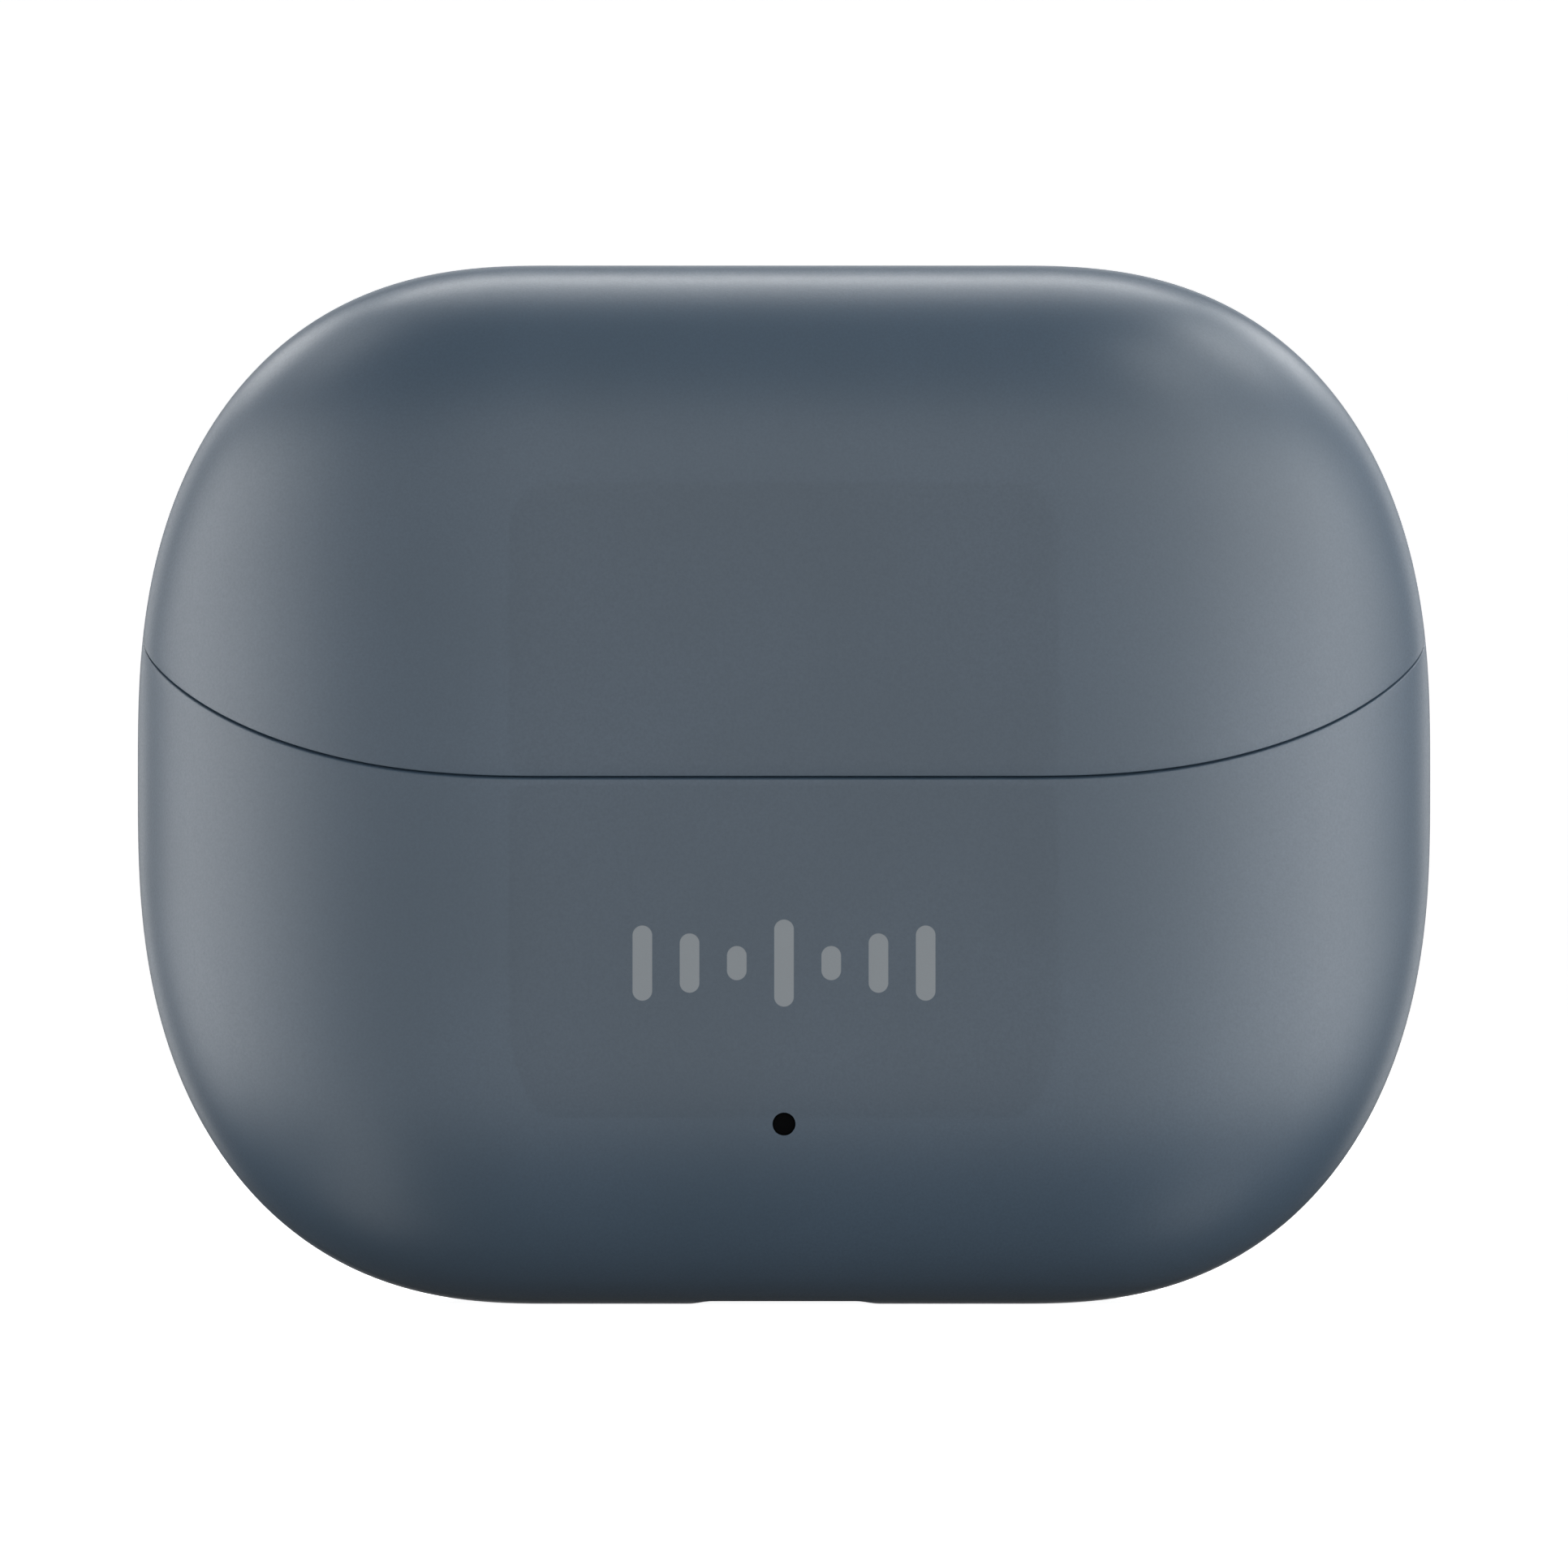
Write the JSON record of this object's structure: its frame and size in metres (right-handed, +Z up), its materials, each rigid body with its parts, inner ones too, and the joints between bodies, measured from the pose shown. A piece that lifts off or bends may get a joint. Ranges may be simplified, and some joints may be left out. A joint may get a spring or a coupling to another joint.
{
  "type": "wireless earbuds case",
  "caption": "Pebble-shaped charging case for wireless earbuds with a tilted hinged lid, stem wells with spring contacts, a battery, a bottom charging port and a pairing button.",
  "frame": {"origin": "middle of the footprint, on the surface that the case stands on", "axes": "+X to the right seen from the front, +Y towards the hinge at the back, +Z up"},
  "size_m": [0.06, 0.0258, 0.048],
  "materials": {
    "shell_plastic": "satin moulded polycarbonate, slate blue-grey, very fine spark texture",
    "inner_plastic": "smooth moulded ABS, darker slate",
    "button_plastic": "satin moulded polycarbonate, as the shell",
    "hinge_steel": "folded stainless sheet and rolled knuckles, satin",
    "pin_steel": "ground stainless pin",
    "spring_steel": "drawn spring wire",
    "screw_steel": "zinc plated",
    "magnet_nickel": "nickel plated",
    "circuit_board": "solder mask over glass epoxy",
    "chip_epoxy": "moulded epoxy",
    "passive_ceramic": "ceramic with tinned ends",
    "inductor_ferrite": "pressed ferrite",
    "connector_plastic": "moulded liquid crystal polymer",
    "switch_plunger": "moulded nylon",
    "led_lens": "clear epoxy over phosphor",
    "light_guide": "smoked acrylic light guide",
    "port_steel": "drawn stainless sleeve",
    "contact_gold": "gold plated copper alloy",
    "flex_polyimide": "polyimide film",
    "battery_foil": "aluminium laminate pouch",
    "lead_red": "silicone insulation",
    "lead_black": "silicone insulation",
    "foam": "closed-cell foam"
  },
  "bodies": {
    "base": {"base_shell": "shell_plastic", "battery_cell": "battery_foil", "battery_foam_pad": "foam", "battery_lead_black": "lead_black", "battery_lead_red": "lead_red", "battery_protection_board": "circuit_board", "board_connectors": "connector_plastic", "board_ics": "chip_epoxy", "board_passives": "passive_ceramic", "board_screws": "screw_steel", "closure_magnets_base": "magnet_nickel", "contact_board_left": "circuit_board", "contact_board_right": "circuit_board", "contact_flex_left": "flex_polyimide", "contact_flex_right": "flex_polyimide", "earbud_magnet_left": "magnet_nickel", "earbud_magnet_right": "magnet_nickel", "earbud_tray": "inner_plastic", "hall_sensor": "chip_epoxy", "hinge_bracket_base": "hinge_steel", "hinge_pin": "pin_steel", "hinge_screws_base": "screw_steel", "hinge_spring": "spring_steel", "light_pipe": "light_guide", "main_board": "circuit_board", "pairing_switch": "chip_epoxy", "pogo_barrels": "contact_gold", "pogo_spring_left_front": "spring_steel", "pogo_spring_left_rear": "spring_steel", "pogo_spring_right_front": "spring_steel", "pogo_spring_right_rear": "spring_steel", "power_inductor": "inductor_ferrite", "status_led": "led_lens", "usb_c_contacts": "contact_gold", "usb_c_shell": "port_steel", "usb_c_tongue": "connector_plastic"},
    "lid": {"lid_shell": "shell_plastic", "lid_liner": "inner_plastic", "hinge_leaf_lid": "hinge_steel", "hinge_screws_lid": "screw_steel", "closure_magnets_lid": "magnet_nickel", "lid_sensor_magnet": "magnet_nickel"},
    "button": {"pairing_button": "button_plastic", "pairing_switch_plunger": "switch_plunger"},
    "pogo_plunger_left_front": {"pogo_plunger_left_front": "contact_gold"},
    "pogo_plunger_left_rear": {"pogo_plunger_left_rear": "contact_gold"},
    "pogo_plunger_right_front": {"pogo_plunger_right_front": "contact_gold"},
    "pogo_plunger_right_rear": {"pogo_plunger_right_rear": "contact_gold"}
  },
  "joints": [
    {"name": "lid_hinge", "type": "hinge", "parent": "base", "child": "lid", "pos_m": [0, 0.0121, 0.03846], "axis": [-1, 0, 0], "range_deg": [0, 95]},
    {"name": "pairing_button_press", "type": "slide", "parent": "base", "child": "button", "axis": [0, 0, 1], "range_m": [0, 0.0004], "stiffness_N_per_m": 600, "springref_m": -0.0004},
    {"name": "pogo_left_front_press", "type": "slide", "parent": "base", "child": "pogo_plunger_left_front", "axis": [0, 0, -1], "range_m": [0, 0.0006], "stiffness_N_per_m": 120, "springref_m": -0.0005, "deforming": ["pogo_spring_left_front"]},
    {"name": "pogo_left_rear_press", "type": "slide", "parent": "base", "child": "pogo_plunger_left_rear", "axis": [0, 0, -1], "range_m": [0, 0.0006], "stiffness_N_per_m": 120, "springref_m": -0.0005, "deforming": ["pogo_spring_left_rear"]},
    {"name": "pogo_right_front_press", "type": "slide", "parent": "base", "child": "pogo_plunger_right_front", "axis": [0, 0, -1], "range_m": [0, 0.0006], "stiffness_N_per_m": 120, "springref_m": -0.0005, "deforming": ["pogo_spring_right_front"]},
    {"name": "pogo_right_rear_press", "type": "slide", "parent": "base", "child": "pogo_plunger_right_rear", "axis": [0, 0, -1], "range_m": [0, 0.0006], "stiffness_N_per_m": 120, "springref_m": -0.0005, "deforming": ["pogo_spring_right_rear"]}
  ]
}
